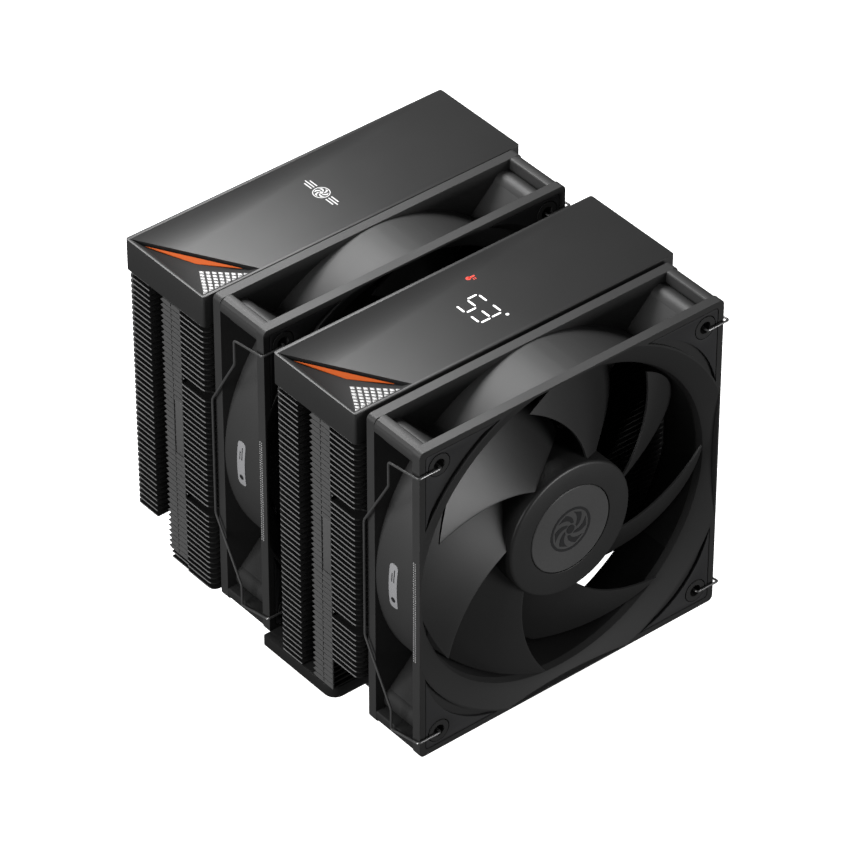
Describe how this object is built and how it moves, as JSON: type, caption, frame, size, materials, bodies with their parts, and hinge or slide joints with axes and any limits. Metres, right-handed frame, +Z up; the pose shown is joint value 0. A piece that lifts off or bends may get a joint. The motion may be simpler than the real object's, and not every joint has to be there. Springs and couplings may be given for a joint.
{
  "type": "cpu tower cooler",
  "caption": "Dual-tower processor cooler: finned stacks on U-shaped heat pipes, satin top covers, a fan in front and one between the towers, held by wire clips.",
  "frame": {"origin": "centre of the cold plate's contact face, which sits on the processor", "axes": "+Z up along the towers, +Y the way the air flows, +X across the fins"},
  "size_m": [0.1262, 0.1418, 0.1588],
  "materials": {
    "fan_plastic": "fine matt moulded plastic, black",
    "fin_black": "black coated thin sheet, paler cut edges",
    "cover_satin": "satin dark grey, fine grain",
    "plate_black": "black coated",
    "pad_rubber": "matt black rubber",
    "clip_steel": "black oxide spring wire",
    "steel": "nickel plated",
    "hub_badge": "spun dark grey disc",
    "silver_insert": "bright silver, field of small pyramids",
    "orange_accent": "satin orange",
    "lens": "smoked, clear",
    "circuit_board": "coated board",
    "brass": "sintered bearing metal",
    "magnet": "bonded ferrite",
    "stator": "wound laminations",
    "pipe_nickel": "nickel plated copper",
    "copper": "fine milled copper",
    "aluminium": "milled"
  },
  "bodies": {
    "cooler": {"front_fan_frame": "fan_plastic", "front_fan_pad_1": "pad_rubber", "front_fan_pad_2": "pad_rubber", "front_fan_pad_3": "pad_rubber", "front_fan_pad_4": "pad_rubber", "front_fan_bearing": "brass", "front_fan_stator": "stator", "front_fan_motor_board": "circuit_board", "middle_fan_frame": "fan_plastic", "middle_fan_pad_1": "pad_rubber", "middle_fan_pad_2": "pad_rubber", "middle_fan_pad_3": "pad_rubber", "middle_fan_pad_4": "pad_rubber", "middle_fan_bearing": "brass", "middle_fan_stator": "stator", "middle_fan_motor_board": "circuit_board", "front_fin_stack": "fin_black", "rear_fin_stack": "fin_black", "front_bottom_plate": "plate_black", "front_top_cover": "cover_satin", "rear_top_cover": "cover_satin", "front_textured_insert": "silver_insert", "rear_textured_insert": "silver_insert", "front_accent_blade": "orange_accent", "rear_accent_blade": "orange_accent", "display_light_guide": "lens", "display_board": "circuit_board", "heat_pipe_1": "pipe_nickel", "heat_pipe_2": "pipe_nickel", "heat_pipe_3": "pipe_nickel", "heat_pipe_4": "pipe_nickel", "heat_pipe_5": "pipe_nickel", "heat_pipe_6": "pipe_nickel", "cold_plate": "copper", "base_block": "aluminium", "mounting_bar": "steel", "bar_screw_left": "steel", "bar_screw_right": "steel", "screw_spring_left": "steel", "screw_spring_right": "steel"},
    "front_fan_rotor": {"front_fan_impeller": "fan_plastic", "front_fan_hub_badge": "hub_badge", "front_fan_shaft": "steel", "front_fan_magnet_ring": "magnet"},
    "front_fan_clip_left": {"front_fan_clip_left": "clip_steel"},
    "front_fan_clip_right": {"front_fan_clip_right": "clip_steel"},
    "middle_fan_rotor": {"middle_fan_impeller": "fan_plastic", "middle_fan_hub_badge": "hub_badge", "middle_fan_shaft": "steel", "middle_fan_magnet_ring": "magnet"},
    "middle_fan_clip_left": {"middle_fan_clip_left": "clip_steel"},
    "middle_fan_clip_right": {"middle_fan_clip_right": "clip_steel"},
    "screw_carrier_left": {"screw_clip_left": "steel"},
    "spring_screw_left": {"spring_screw_left": "steel"},
    "screw_carrier_right": {"screw_clip_right": "steel"},
    "spring_screw_right": {"spring_screw_right": "steel"}
  },
  "joints": [
    {"name": "front_fan_spin", "type": "hinge", "parent": "cooler", "child": "front_fan_rotor", "pos_m": [0, -0.0709, 0.098], "axis": [0, -1, 0], "continuous": true},
    {"name": "front_fan_clip_left_swing", "type": "hinge", "parent": "cooler", "child": "front_fan_clip_left", "pos_m": [-0.0525, -0.0834, 0.098], "axis": [0, 0, 1], "range_deg": [0, 12], "stiffness_Nm_per_rad": 0.05},
    {"name": "front_fan_clip_right_swing", "type": "hinge", "parent": "cooler", "child": "front_fan_clip_right", "pos_m": [0.0525, -0.0834, 0.098], "axis": [0, 0, -1], "range_deg": [0, 12], "stiffness_Nm_per_rad": 0.05},
    {"name": "middle_fan_spin", "type": "hinge", "parent": "cooler", "child": "middle_fan_rotor", "pos_m": [0, 0.0039, 0.0988], "axis": [0, -1, 0], "continuous": true},
    {"name": "middle_fan_clip_left_swing", "type": "hinge", "parent": "cooler", "child": "middle_fan_clip_left", "pos_m": [-0.0525, -0.0086, 0.0988], "axis": [0, 0, 1], "range_deg": [0, 12], "stiffness_Nm_per_rad": 0.05},
    {"name": "middle_fan_clip_right_swing", "type": "hinge", "parent": "cooler", "child": "middle_fan_clip_right", "pos_m": [0.0525, -0.0086, 0.0988], "axis": [0, 0, -1], "range_deg": [0, 12], "stiffness_Nm_per_rad": 0.05},
    {"name": "screw_left_press", "type": "slide", "parent": "cooler", "child": "screw_carrier_left", "axis": [0, 0, -1], "range_m": [0, 0.004], "stiffness_N_per_m": 3000, "springref_m": -0.002, "deforming": ["screw_spring_left"]},
    {"name": "screw_left_turn", "type": "hinge", "parent": "screw_carrier_left", "child": "spring_screw_left", "pos_m": [-0.0415, 0, 0.03], "axis": [0, 0, -1], "continuous": true},
    {"name": "screw_right_press", "type": "slide", "parent": "cooler", "child": "screw_carrier_right", "axis": [0, 0, -1], "range_m": [0, 0.004], "stiffness_N_per_m": 3000, "springref_m": -0.002, "deforming": ["screw_spring_right"]},
    {"name": "screw_right_turn", "type": "hinge", "parent": "screw_carrier_right", "child": "spring_screw_right", "pos_m": [0.0415, 0, 0.03], "axis": [0, 0, -1], "continuous": true}
  ]
}
